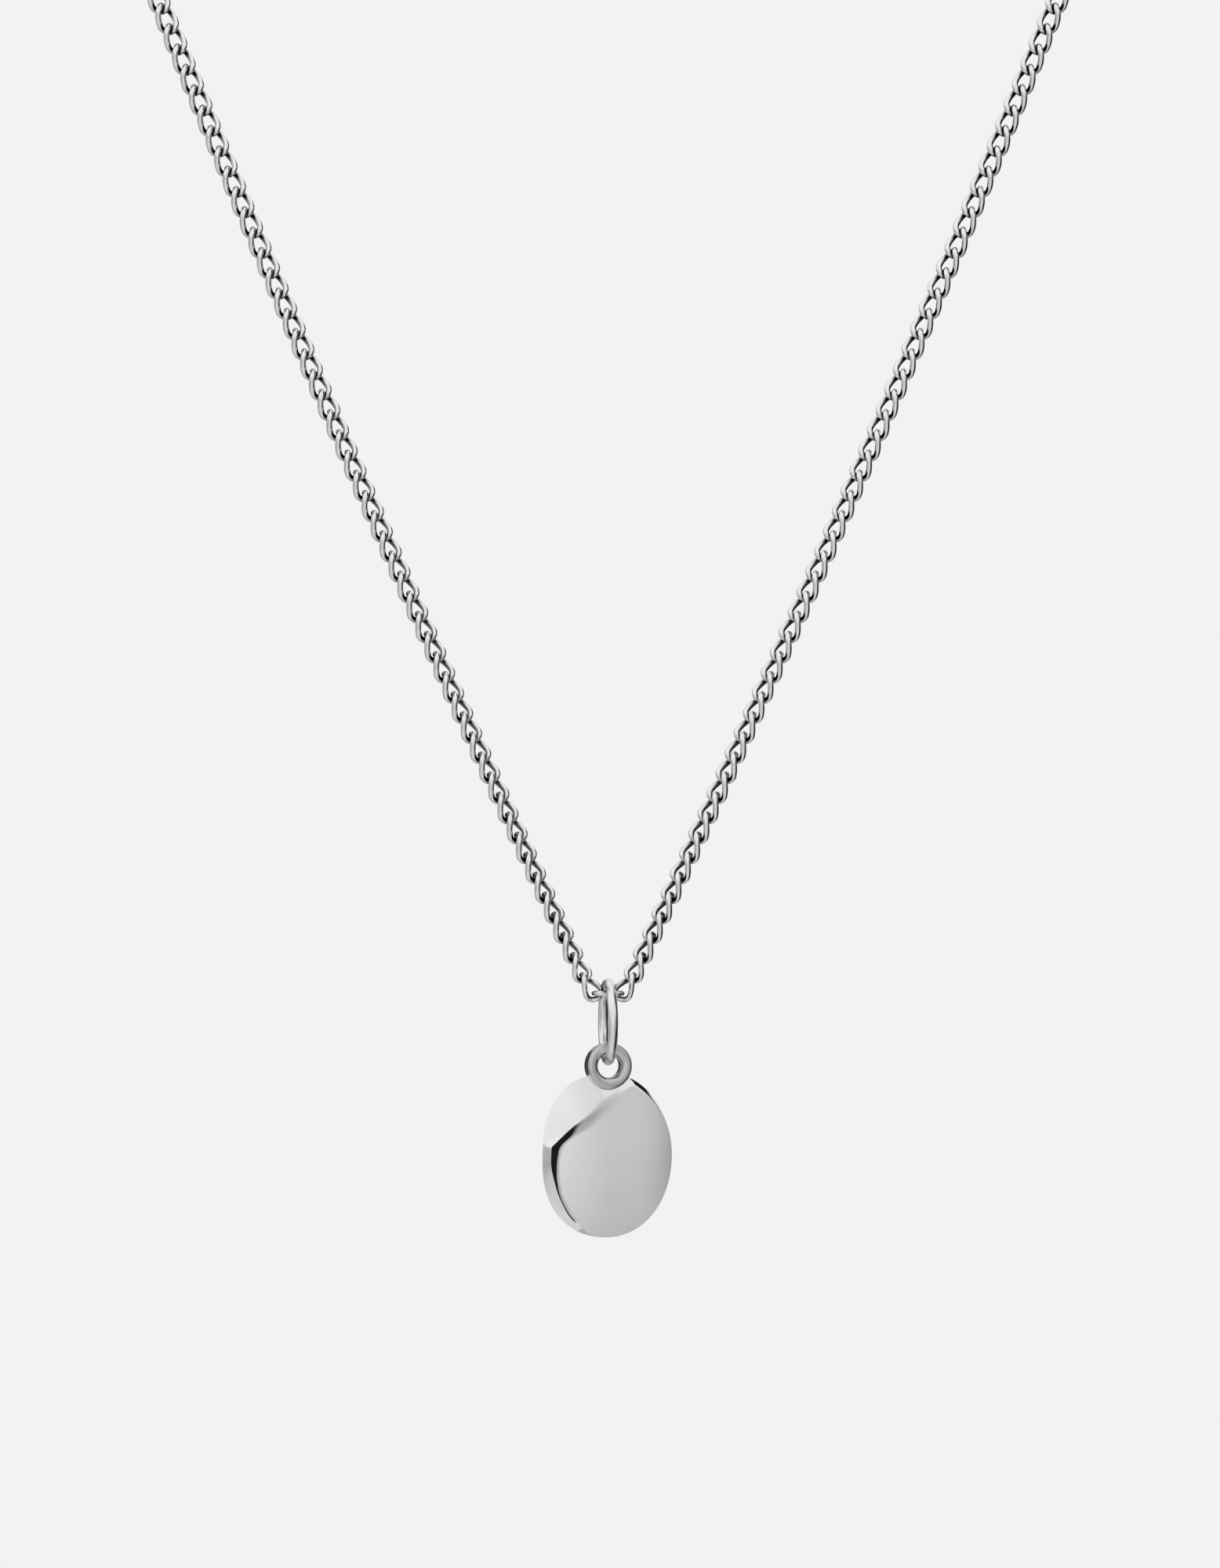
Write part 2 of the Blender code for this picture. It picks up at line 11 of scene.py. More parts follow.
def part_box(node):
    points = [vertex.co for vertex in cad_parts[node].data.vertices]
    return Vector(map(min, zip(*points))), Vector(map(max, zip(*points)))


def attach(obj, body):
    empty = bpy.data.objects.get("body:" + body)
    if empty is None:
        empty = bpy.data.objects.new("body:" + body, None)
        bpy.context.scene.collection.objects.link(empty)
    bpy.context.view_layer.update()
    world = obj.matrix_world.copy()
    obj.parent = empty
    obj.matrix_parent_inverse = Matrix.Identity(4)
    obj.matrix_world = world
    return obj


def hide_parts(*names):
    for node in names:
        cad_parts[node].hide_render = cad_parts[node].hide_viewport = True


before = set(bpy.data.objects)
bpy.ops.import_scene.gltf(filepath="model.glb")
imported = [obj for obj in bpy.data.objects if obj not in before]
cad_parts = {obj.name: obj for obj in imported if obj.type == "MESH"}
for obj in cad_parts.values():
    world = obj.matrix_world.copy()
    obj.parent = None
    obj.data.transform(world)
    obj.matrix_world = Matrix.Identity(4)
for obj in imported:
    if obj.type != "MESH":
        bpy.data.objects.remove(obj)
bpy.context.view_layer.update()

MM = 0.001
RIGHT = Vector((1, 0, 0))
BACK = Vector((0, 1, 0))
UP = Vector((0, 0, 1))

# Curb chain
WIRE_RADIUS = 0.28 * MM
LINK_HALF_LENGTH = 1.34 * MM
LINK_HALF_WIDTH = 0.77 * MM
LINK_PITCH = 2.05 * MM
LINK_SEAT = 0.275 * MM
LINK_TWIST = math.radians(60)
SINGLE_LINKS = 6
FRONT_RUNS = 4
FRONT_RUN_LINKS = 11
UPPER_RUN_LINKS = 16
NECK_RUNS = 4
NECK_RUN_LINKS = 16
END_POINTS = 13
STRAIGHT_POINTS = 3
WIRE_POINTS = 12

# The middle link, and the first links next to it, which are slimmer to clear each other as they swing
MIDDLE_WIRE_RADIUS = 0.25 * MM
MIDDLE_HALF_LENGTH = 1.30 * MM
MIDDLE_HALF_WIDTH = 0.80 * MM
FIRST_LINKS = 2
FIRST_WIRE_RADIUS = 0.26 * MM
FIRST_HALF_LENGTH = 1.31 * MM
FIRST_HALF_WIDTH = 0.79 * MM

# Drape of the front and curve round the neck
FIRST_LINK_TILT = math.radians(33)
FIRST_LINK_ROLL = math.radians(47)
CATENARY_SCALE = 288 * MM
CATENARY_START_SLOPE = 2.13
ROLL_AT_PENDANT = math.radians(58)
ROLL_PER_LINK = math.radians(0.80)
NAPE_RISE = 46 * MM
SHOULDER_HANDLE = 36 * MM
NAPE_HANDLE = 62 * MM
CHAIN_END_X = 6.80 * MM
NECK_SAMPLES = 400
NECK_HALVINGS = 60

# Jump ring
RING_RADIUS = 3.575 * MM
RING_WIRE_RADIUS = 0.475 * MM
RING_CLEARANCE = 0.07 * MM
RING_YAW = math.radians(7.5)
RING_STEPS = 96
RING_WIRE_POINTS = 24

# Eyelet
PENDANT_YAW = math.radians(16)
EYELET_RADIUS = 2.125 * MM
EYELET_BORE = 1.10 * MM
EYELET_HALF = 0.85 * MM
EYELET_SINK = 0.30 * MM
EYELET_ROUND = 0.28 * MM
EYELET_DROP = 0.505 * MM
EYELET_SEAT = 1.30 * MM
EYELET_TURNS = 96
BEND_STEPS = 5
LONGEST_BEND = 0.45

# Plate: outline, face and back
DISC_DROP = 8.325 * MM
DISC_LEFT = 6.42 * MM
DISC_RIGHT = 6.15 * MM
DISC_HALF_HEIGHT = 7.65 * MM
OUTLINE_POWER_LEFT = 2.3
OUTLINE_POWER_RIGHT = 2.0
FACE_DEPTH = 0.55 * MM
FACE_ROLL_LEFT = 0.32 * MM
FACE_ROLL_RIGHT = 0.30 * MM
FACE_ROLL_UP = 0.24 * MM
FACE_POWER_LEFT = 2
FACE_POWER_RIGHT = 5
BACK_DEPTH = 1.15 * MM
BACK_CROWN = 0.20 * MM
BACK_BREAK_SHARE = 0.5
BACK_BREAK_CROWN = 0.8 * BACK_CROWN

# Plate: step of the hollow, facet outside it and edge
EDGE_INSET = 0.05 * MM
BEVEL_REACH = 0.35 * MM
BEVEL_DEGREES = (14, 128)
PLAIN_STEP_WIDTH = 0.30 * MM
LEAST_STEP_WIDTH = 0.10 * MM
STEP_POWER = 1.1
STEP_POWER_MORE_ON_TOP = 0.9
FACET_DROP = 0.40 * MM
FACET_DROP_MORE_ON_LEFT = 0.30 * MM
CREST_BLEND = 0.02 * MM
CREST_BLEND_MORE_ON_TOP = 0.18 * MM
SOFT_STEP = 0.3 * MM
CREST_SHARE = 0.2
BRINK_ROUND = 0.005 * MM
EDGE_ROUND = 0.10 * MM
HEEL_INSET = 0.60 * MM
HEEL_RISE = 0.10 * MM
SOLE_INSET = 1.3 * MM
SOLE_DROP = 0.02 * MM
SOLE_ROUND = 0.5 * MM

# Plate: turns of its section round it, rows of the section, and steps between the points of its curves
DISC_TURNS = 240
FACE_ROWS = 16
WALL_ROWS = 12
CREST_ROWS = 10
FACET_ROWS = 8
BACK_ROWS = 6
KNOT_STEPS = 24
SHARP_ANGLE = math.radians(62)

# Hollow of the plate's face, in millimetres: its crest as (across, up, height of the step), first along the
# crease and then down the left shoulder, and the foot of the step as (across, up)
CREASE = [(2.75, 6.85, 0.00), (2.20, 6.60, 0.00), (1.60, 6.35, 0.01), (0.81, 5.89, 0.03), (-0.45, 4.94, 0.10),
          (-2.24, 3.56, 0.20), (-3.67, 2.62, 0.34), (-5.78, 0.80, 0.80)]
SHOULDER = [(-5.78, 0.80, 0.80), (-5.76, -0.90, 0.62), (-5.40, -2.36, 0.36), (-4.89, -3.82, 0.20),
            (-4.14, -5.28, 0.16), (-3.56, -6.01, 0.12), (-2.85, -6.62, 0.05), (-2.10, -7.18, 0.02),
            (-1.50, -7.46, 0.00), (-0.90, -7.61, 0.00)]
FOOT = [(2.35, 5.80), (1.60, 5.30), (0.85, 4.70), (0.10, 3.85), (-1.65, 2.58), (-3.39, 1.80), (-4.58, 0.95),
        (-4.96, -0.17), (-5.05, -1.40), (-5.01, -2.36), (-4.71, -3.82), (-4.00, -5.20), (-3.42, -5.92),
        (-2.75, -6.50), (-2.02, -7.04), (-1.44, -7.32), (-0.86, -7.47)]

# Clasp
CLASP_RING_RADIUS = 1.8 * MM
CLASP_RING_WIRE_RADIUS = 0.3 * MM
CLASP_RING_STEPS = 64
CLASP_RING_WIRE_POINTS = 16
CAST_VOXEL = 0.05 * MM
TUMBLE_FACTOR = 0.5
TUMBLE_ROUNDS = 3

# Metals: tones, and where a noise value turns into smears of the gloss and of the tone
SILVER = (0.90, 0.90, 0.895)
RING_TONE = (0.87, 0.87, 0.865)
# The eyelet shares the plate's silver; its much darker tone is painted shade
EYELET_SHADED_TONE = (0.57, 0.57, 0.565)
CAST_TONE = (0.80, 0.80, 0.79)
STEEL = (0.62, 0.62, 0.63)
GLOSS_SPAN = (0.3, 0.7)
TONE_SPAN = (0.35, 0.65)
DULLEST = 0.97
SMEAR_DETAIL = 4.0
WAVE_DETAIL = 2.0
WAVE_GRAIN = 0.6
# Painted shade in crevices: the tone turns near black where ambient occlusion finds other surfaces close by
CREVICE_SHADE = 0.01
CREVICE_SHADE_SPAN = (0.49, 0.96)

# Studio tent, seen from the pendant: (share to the right, light level) of its front
FRONT_LIGHT = [(-1.00, 0.40), (-0.92, 0.52), (-0.80, 0.60), (-0.45, 0.84), (-0.30, 0.90), (0.05, 0.92),
               (0.28, 0.91), (0.42, 0.73), (0.53, 0.62), (0.83, 0.42), (1.00, 0.20)]
BACK_LIGHT = 0.80
HIGH_FRONT_LIGHT = 0.86
LOW_FRONT_SHARE = 0.78
GROUND_LIGHT = 0.71
LOW_BACK_LIGHT = 0.45
TOP_LIGHT = 0.95
TOP_AXIS = Vector((-0.34, 0.0, 0.94))

# Where these lights turn into each other: heights of a direction of length 1, its share to the back, and the
# cosine of its angle to the top axis
HIGH_FRONT_SPAN = (0.14, 0.42)
LOW_FRONT_SPAN = (0.02, -0.25)
GROUND_SPAN = (-0.35, -0.75)
BACK_HEIGHT_SPAN = (-0.25, 0.15)
FRONT_TO_BACK_SPAN = (-0.06, 0.14)
TOP_SPAN = (0.50, 0.85)

# Dark cards: degrees to the right and up, half width where a card is full and where it has faded out, and its
# light level
DARK_CARDS = [(92, -34, 18, 40, 0.01), (108, 2, 25, 33, 0.01), (103, 36, 18, 28, 0.01),
              (-148, 0, 20, 40, 0.38), (-152, 2, 13, 19, 0.07)]

# Stage
TENT_RADIUS = 0.95
TENT_SEGMENTS = 96
FLOOR_Z = -1.20
FLOOR_RADIUS = 1.50
FLOOR_CORNERS = 96
PAPER = 0.86
PAPER_ROUGHNESS = 0.9
BACKGROUND = 0.886

# Photographed frame, measured on the object
PHOTO_HEIGHT_PX = 2000
PX_PER_MM = 13.7
FRAME_HEIGHT = PHOTO_HEIGHT_PX / PX_PER_MM * MM
FRAME_CENTRE = Vector((0.175 * MM, 0.0, 19.49 * MM))
CAMERA_DISTANCE = 1.5
SENSOR = 36.0
FARTHEST_SEEN = 20


# Meshes, as (points, faces)
def grid_faces(rings, around):
    """Faces between closed rings of points, the last ring joined to the first."""
    faces = []
    for k in range(rings):
        near, far = k * around, (k + 1) % rings * around
        for s in range(around):
            t = (s + 1) % around
            faces.append((near + s, near + t, far + t, far + s))
    return faces


def tube(path, radius, sides):
    """A round wire along a closed path."""
    path = np.asarray(path, float)
    count = len(path)
    along = np.roll(path, -1, axis=0) - np.roll(path, 1, axis=0)
    along /= np.linalg.norm(along, axis=1)[:, None]
    side = [np.cross(along[0], path[0] - path.mean(axis=0))]
    side[0] /= np.linalg.norm(side[0])
    for k in range(1, count):
        carried = side[-1] - along[k] * side[-1].dot(along[k])
        side.append(carried / np.linalg.norm(carried))
    side = np.array(side)
    other = np.cross(along, side)
    carried = side[-1] - along[0] * side[-1].dot(along[0])
    slack = math.atan2(carried.dot(other[0]), carried.dot(side[0]))
    points = []
    for k in range(count):
        for s in range(sides):
            turn = math.tau * s / sides - slack * k / count
            points.append(path[k] + radius * (math.cos(turn) * side[k] + math.sin(turn) * other[k]))
    return points, grid_faces(count, sides)


def circle_path(centre, first, second, radius, count):
    turns = [math.tau * k / count for k in range(count)]
    return [centre + (first * math.cos(t) + second * math.sin(t)) * radius for t in turns]


def lathe(profile, centre, right, up, front, turns):
    """A closed profile of (radius, depth) turned round the front axis."""
    points = []
    for k in range(turns):
        turn = math.tau * k / turns
        spoke = right * math.cos(turn) + up * math.sin(turn)
        points.extend(centre + spoke * r + front * d for r, d in profile)
    return points, grid_faces(turns, len(profile))


def joined(parts):
    """Several meshes as one."""
    points, faces = [], []
    for part_points, part_faces in parts:
        start = len(points)
        points.extend(part_points)
        faces.extend(tuple(start + i for i in face) for face in part_faces)
    return points, faces


def mirrored(part):
    """A mesh of the left strand as the right strand has it."""
    points, faces = part
    return [(-p[0], p[1], p[2]) for p in points], [face[::-1] for face in faces]


def rounded(profile, reaches):
    """A line through points whose inner corners are short bends, each reaching so far along its two sides."""
    line = [profile[0]]
    for before, corner, after, reach in zip(profile, profile[1:], profile[2:], reaches):
        before, corner, after = np.array(before), np.array(corner), np.array(after)
        ends = []
        for side in (before - corner, after - corner):
            length = np.linalg.norm(side)
            ends.append(corner + side * min(reach, LONGEST_BEND * length) / length)
        for step in range(BEND_STEPS):
            share = step / (BEND_STEPS - 1)
            line.append(ends[0] * (1 - share) ** 2 + corner * 2 * share * (1 - share) + ends[1] * share ** 2)
    line.append(profile[-1])
    return line


def smooth_through(knots):
    """Points along a smooth curve through knots."""
    knots = np.array(knots)
    padded = np.vstack([2 * knots[0] - knots[1], knots, 2 * knots[-1] - knots[-2]])
    curve = []
    for a, b, c, d in zip(padded, padded[1:], padded[2:], padded[3:]):
        for step in range(KNOT_STEPS):
            s = step / KNOT_STEPS
            curve.append(0.5 * (2 * b + (c - a) * s + (2 * a - 5 * b + 4 * c - d) * s ** 2
                                + (3 * b - a - 3 * c + d) * s ** 3))
    curve.append(knots[-1])
    return np.array(curve)


# Objects
def coat(obj, material):
    """Gives an object one material."""
    obj.data.materials.clear()
    obj.data.materials.append(material)


def dress(obj, material, body, *nodes):
    """Lets an object stand for CAD nodes and ride on their body."""
    coat(obj, material)
    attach(obj, body)
    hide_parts(*nodes)


def piece(name, part, material, body, *nodes):
    """A smooth mesh that stands for CAD nodes."""
    mesh = bpy.data.meshes.new(name)
    mesh.from_pydata([tuple(p) for p in part[0]], [], part[1])
    mesh.validate()
    mesh.shade_smooth()
    obj = bpy.data.objects.new(name, mesh)
    bpy.context.collection.objects.link(obj)
    dress(obj, material, body, *nodes)
    return obj


# Materials
def grey(level):
    return (level, level, level, 1)


def blended(nodes, links, value, span, under, over):
    """One tone that turns into another as a value passes along a span."""
    share = nodes.new("ShaderNodeMapRange")
    share.interpolation_type = "SMOOTHSTEP"
    share.inputs["From Min"].default_value, share.inputs["From Max"].default_value = span
    links.new(value, share.inputs["Value"])
    mix = nodes.new("ShaderNodeMix")
    mix.data_type = "RGBA"
    links.new(share.outputs["Result"], mix.inputs["Factor"])
    for tone, socket in ((under, mix.inputs["A"]), (over, mix.inputs["B"])):
        if isinstance(tone, tuple):
            socket.default_value = tone
        else:
            links.new(tone, socket)
    return mix.outputs["Result"]


def noise(nodes, links, grain, detail):
    """A noise value over the object."""
    where = nodes.new("ShaderNodeTexCoord")
    texture = nodes.new("ShaderNodeTexNoise")
    texture.inputs["Scale"].default_value = grain
    texture.inputs["Detail"].default_value = detail
    links.new(where.outputs["Object"], texture.inputs["Vector"])
    return texture.outputs["Fac"]


def metal(slot, tone, rough, spread, grain, waves, crevice=0.0):
    """Polished metal: faint smears in gloss and tone, a very fine waviness, and painted shade deep in
    crevices.
    """
    material = bpy.data.materials.new(slot + "_look")
    material["slot"] = slot
    material.use_nodes = True
    nodes, links = material.node_tree.nodes, material.node_tree.links
    shader = nodes["Principled BSDF"]
    shader.inputs["Metallic"].default_value = 1.0
    smear = noise(nodes, links, grain, SMEAR_DETAIL)
    gloss = nodes.new("ShaderNodeMapRange")
    gloss.inputs["From Min"].default_value, gloss.inputs["From Max"].default_value = GLOSS_SPAN
    gloss.inputs["To Min"].default_value = rough
    gloss.inputs["To Max"].default_value = rough + spread
    links.new(smear, gloss.inputs["Value"])
    links.new(gloss.outputs["Result"], shader.inputs["Roughness"])
    ramp = nodes.new("ShaderNodeValToRGB")
    for element, position, level in zip(ramp.color_ramp.elements, TONE_SPAN, (DULLEST, 1.0)):
        element.position = position
        element.color = (tone[0] * level, tone[1] * level, tone[2] * level, 1)
    links.new(smear, ramp.inputs["Fac"])
    links.new(ramp.outputs["Color"], shader.inputs["Base Color"])
    # Painted shade: where ambient occlusion finds other wires near, the base colour darkens towards near
    # black
    if crevice:
        shade = nodes.new("ShaderNodeAmbientOcclusion")
        shade.inputs["Distance"].default_value = crevice
        unshaded = ramp.outputs["Color"]
        crevice_shaded = blended(nodes, links, shade.outputs["AO"], CREVICE_SHADE_SPAN, grey(CREVICE_SHADE), unshaded)
        links.new(crevice_shaded, shader.inputs["Base Color"])
    relief = nodes.new("ShaderNodeBump")
    relief.inputs["Strength"].default_value = 1.0
    relief.inputs["Distance"].default_value = waves
    links.new(noise(nodes, links, grain * WAVE_GRAIN, WAVE_DETAIL), relief.inputs["Height"])
    links.new(relief.outputs["Normal"], shader.inputs["Normal"])
    return material


# The chain's silver carries painted shade in the crevices between its links
chain_silver = metal("chain_silver", SILVER, rough=0.10, spread=0.06, grain=900, waves=0.006 * MM,
                     crevice=1.2 * MM)
ring_silver = metal("ring_silver", RING_TONE, rough=0.24, spread=0.05, grain=700, waves=0.008 * MM)
# Same silver as the plate, darkened: painted shade on the eyelet
eyelet_shaded_silver = metal("pendant_silver", EYELET_SHADED_TONE, rough=0.07, spread=0.04, grain=700, waves=0.008 * MM)
plate_silver = metal("pendant_silver", SILVER, rough=0.07, spread=0.04, grain=260, waves=0.012 * MM)
clasp_silver = metal("clasp_silver", CAST_TONE, rough=0.14, spread=0.06, grain=800, waves=0.008 * MM)
spring_steel = metal("spring_steel", STEEL, rough=0.25, spread=0.08, grain=3000, waves=0.002 * MM)


# Chain
def front_spot(length):
    """Point of the left strand's drape that lies this far along it."""
    slope = CATENARY_START_SLOPE + length / CATENARY_SCALE
    across = math.asinh(slope) - math.asinh(CATENARY_START_SLOPE)
    rise = math.hypot(1, slope) - math.hypot(1, CATENARY_START_SLOPE)
    return Vector((-CATENARY_SCALE * across, 0, CATENARY_SCALE * rise))


def neck_curve(start, heading, end):
    """Curve from the top of the drape round the side of the neck to the nape."""
    corners = [start, start + heading * SHOULDER_HANDLE, end - RIGHT * NAPE_HANDLE, end]
    curve = []
    for step in range(NECK_SAMPLES + 1):
        along = step / NECK_SAMPLES
        shares = [(1 - along) ** 3, 3 * along * (1 - along) ** 2, 3 * along ** 2 * (1 - along), along ** 3]
        curve.append(sum((corner * share for corner, share in zip(corners, shares)), Vector()))
    return curve


def curve_length(curve):
    return sum((b - a).length for a, b in zip(curve, curve[1:]))


def spaced(curve, count):
    """Points that divide a curve into equal lengths, without its first point."""
    reach = np.cumsum([0.0] + [(b - a).length for a, b in zip(curve, curve[1:])])
    wanted = np.linspace(0, reach[-1], count + 1)[1:]
    flat = np.array(curve)
    return [Vector(np.interp(w, reach, flat[:, axis]) for axis in range(3)) for w in wanted]


def left_junctions():
    """Points where the left strand's links hook into each other, from the middle link to the nape."""
    first_axis = Vector((-math.sin(FIRST_LINK_TILT), 0, math.cos(FIRST_LINK_TILT)))
    spots = [Vector((-MIDDLE_HALF_LENGTH, 0, 0)) - first_axis * LINK_SEAT]
    spots.append(spots[0] + first_axis * LINK_PITCH)
    front_links = SINGLE_LINKS + FRONT_RUNS * FRONT_RUN_LINKS + UPPER_RUN_LINKS
    for k in range(1, front_links):
        spots.append(spots[1] + front_spot(k * LINK_PITCH))
    heading = (spots[-1] - spots[-2]).normalized()
    neck_links = NECK_RUNS * NECK_RUN_LINKS
    shallow, deep = 0.0, neck_links * LINK_PITCH
    for _ in range(NECK_HALVINGS):
        depth = (shallow + deep) / 2
        nape = Vector((-CHAIN_END_X, depth, spots[-1].z + NAPE_RISE))
        curve = neck_curve(spots[-1], heading, nape)
        if curve_length(curve) < neck_links * LINK_PITCH:
            shallow = depth
        else:
            deep = depth
    return spots + spaced(curve, neck_links)


def link_frames(spots):
    """Centre, width direction and axis of each link of the left strand, which rolls slowly on its way up."""
    axes = [(b - a).normalized() for a, b in zip(spots, spots[1:])]
    widths = [Vector((axes[0].z, 0, -axes[0].x))]
    for before, after in zip(axes, axes[1:]):
        widths.append(before.rotation_difference(after) @ widths[-1])
    last = len(axes) - 1
    end_roll = math.atan2(axes[last].dot(widths[last].cross(UP)), widths[last].dot(UP)) - LINK_TWIST
    flat_link = round(ROLL_AT_PENDANT / ROLL_PER_LINK)
    frames = []
    for k, (a, b) in enumerate(zip(spots, spots[1:])):
        if k == 0:
            roll = FIRST_LINK_ROLL
        elif k < flat_link:
            roll = ROLL_AT_PENDANT - k * ROLL_PER_LINK
        else:
            roll = end_roll * (k - flat_link) / (last - flat_link)
        frames.append(((a + b) / 2, Quaternion(axes[k], roll) @ widths[k], axes[k]))
    return frames


def link_wire(centre, width, axis, twist, half_length, half_width, radius):
    """One link: a long loop of wire, twisted along its length."""
    spots = []
    straight = half_length - half_width
    for end in (1, -1):
        for step in range(END_POINTS):
            turn = math.pi * step / (END_POINTS - 1) - math.pi / 2
            spots.append((end * (straight + half_width * math.cos(turn)), end * half_width * math.sin(turn)))
        for step in range(1, STRAIGHT_POINTS + 1):
            spots.append((end * straight * (1 - 2 * step / (STRAIGHT_POINTS + 1)), end * half_width))
    path = []
    for along, beside in spots:
        spoke = Quaternion(axis, twist * along / half_length) @ width
        path.append(centre + axis * along + spoke * beside)
    return tube(path, radius, WIRE_POINTS)


LINK_SIZES = (LINK_HALF_LENGTH, LINK_HALF_WIDTH, WIRE_RADIUS)
FIRST_SIZES = (FIRST_HALF_LENGTH, FIRST_HALF_WIDTH, FIRST_WIRE_RADIUS)
MIDDLE_SIZES = (MIDDLE_HALF_LENGTH, MIDDLE_HALF_WIDTH, MIDDLE_WIRE_RADIUS)
junctions = left_junctions()
nape = Vector((0, junctions[-1].y, junctions[-1].z))
v_bottom = -nape
links_left = []
for k, (centre, width, axis) in enumerate(link_frames(junctions)):
    link_sizes = FIRST_SIZES if k < FIRST_LINKS else LINK_SIZES
    links_left.append(link_wire(centre - nape, width, axis, LINK_TWIST, *link_sizes))
links_right = [mirrored(link) for link in links_left]
middle_link = link_wire(v_bottom, BACK, RIGHT, 0, *MIDDLE_SIZES)
piece("centre_link_fine", middle_link, chain_silver, "middle", "centre_link")

stretches = [(f"link_{k + 1}", f"links_{k + 1}", 1) for k in range(SINGLE_LINKS)]
stretches += [(f"front_run_{k + 1}", f"front_runs_{k + 1}", FRONT_RUN_LINKS) for k in range(FRONT_RUNS)]
stretches += [("upper_run", "upper_runs", UPPER_RUN_LINKS)]
stretches += [(f"neck_run_{k + 1}", "neck", NECK_RUN_LINKS) for k in range(NECK_RUNS)]
start = 0
for stretch, body, count in stretches:
    for side, links in (("left", links_left), ("right", links_right)):
        node = f"{side}_{stretch}"
        piece(node + "_fine", joined(links[start:start + count]), chain_silver, body, node)
    start += count

# Jump ring
ring_front = Vector((math.sin(RING_YAW), -math.cos(RING_YAW), 0))
wire_reach = RING_RADIUS - RING_WIRE_RADIUS - MIDDLE_WIRE_RADIUS - RING_CLEARANCE
ring_centre = v_bottom - UP * math.sqrt(wire_reach ** 2 - MIDDLE_HALF_WIDTH ** 2)
ring_path = circle_path(ring_centre, ring_front, UP, RING_RADIUS, RING_STEPS)
piece("jump_ring_fine", tube(ring_path, RING_WIRE_RADIUS, RING_WIRE_POINTS), ring_silver, "ring", "jump_ring")

# Eyelet
pendant_right = Vector((math.cos(PENDANT_YAW), math.sin(PENDANT_YAW), 0))
pendant_front = Vector((math.sin(PENDANT_YAW), -math.cos(PENDANT_YAW), 0))
eyelet_centre = ring_centre - UP * RING_RADIUS - UP * EYELET_DROP
disc_centre = eyelet_centre - UP * DISC_DROP
mouth = EYELET_BORE + EYELET_SINK
throat = EYELET_HALF - EYELET_SINK
seam = (EYELET_RADIUS, 0)
front_corners = [(EYELET_RADIUS, EYELET_HALF), (mouth, EYELET_HALF), (EYELET_BORE, throat)]
back_corners = [(radius, -depth) for radius, depth in reversed(front_corners)]
eyelet_corners = [seam] + front_corners + back_corners + [seam]
eyelet_profile = rounded(eyelet_corners, [EYELET_ROUND] * len(front_corners + back_corners))[:-1]
eyelet = lathe(eyelet_profile, eyelet_centre, pendant_right, UP, pendant_front, EYELET_TURNS)
piece("pendant_eyelet_fine", eyelet, eyelet_shaded_silver, "pendant", "pendant_eyelet")

# Plate
crest = np.vstack([smooth_through(CREASE)[:-1], smooth_through(SHOULDER)]) * MM
crest_turn = np.unwrap(np.arctan2(crest[:, 1], crest[:, 0]))
crest_radius = np.hypot(crest[:, 0], crest[:, 1])
foot = smooth_through(FOOT) * MM
foot_turn = np.unwrap(np.arctan2(foot[:, 1], foot[:, 0]))
foot_radius = np.hypot(foot[:, 0], foot[:, 1])


def outline_radius(turn):
    """Distance from the plate's centre to its outline; the left half is a little fuller than an oval."""
    c, rise = math.cos(turn), abs(math.sin(turn)) / DISC_HALF_HEIGHT
    across = -c / DISC_LEFT if c < 0 else c / DISC_RIGHT
    power = OUTLINE_POWER_LEFT if c < 0 else OUTLINE_POWER_RIGHT
    radius = (across ** power + rise ** power) ** (-1 / power)
    clear = EYELET_SEAT ** 2 - (DISC_DROP * c) ** 2
    if math.sin(turn) > 0 and clear > 0:
        radius = min(radius, DISC_DROP * math.sin(turn) - math.sqrt(clear))
    return radius


def face_depth(u, w):
    """Height of the plate's broad face over its middle plane, at a place across and up."""
    side = u / DISC_RIGHT
    if side < 0:
        roll = FACE_ROLL_LEFT * side ** FACE_POWER_LEFT
    else:
        roll = FACE_ROLL_RIGHT * side ** FACE_POWER_RIGHT
    return FACE_DEPTH - roll - FACE_ROLL_UP * (w / DISC_HALF_HEIGHT) ** 2


def swell(value, low, high):
    """Rises smoothly from 0 at low to 1 in the middle and back to 0 at high."""
    return math.sin(math.pi * min(1.0, max(0.0, (value - low) / (high - low)))) ** 2


def crest_at(turn):
    """Radius, step height and step width of the hollow's crest in one direction; no step on the right."""
    turn = turn % math.tau
    edge = outline_radius(turn) - (EDGE_INSET + BEVEL_REACH * swell(math.degrees(turn), *BEVEL_DEGREES))
    if not crest_turn[0] < turn < crest_turn[-1]:
        return edge, 0.0, PLAIN_STEP_WIDTH
    radius = min(edge, np.interp(turn, crest_turn, crest_radius))
    step = max(0.0, np.interp(turn, crest_turn, crest[:, 2]))
    width = max(LEAST_STEP_WIDTH, radius - np.interp(turn, foot_turn, foot_radius))
    return radius, step, width


def lower_of(a, b, blend):
    """The lower of two heights, with a smooth bend where they cross."""
    share = min(1.0, max(0.0, 0.5 + 0.5 * (b - a) / blend))
    return b + (a - b) * share - blend * share * (1 - share)


def step_radii(inner, radius, edge, spread):
    """Radii of a section's points up the step's wall, close together over its crest, and down to the edge."""
    near, far = radius - CREST_SHARE * spread, radius + CREST_SHARE * spread
    wall = [inner + (near - inner) * k / WALL_ROWS for k in range(1, WALL_ROWS + 1)]
    over = [near + (far - near) * k / CREST_ROWS for k in range(1, CREST_ROWS + 1)]
    facet = [far + (edge - far) * k / FACET_ROWS for k in range(1, FACET_ROWS + 1)]
    return wall + over + facet


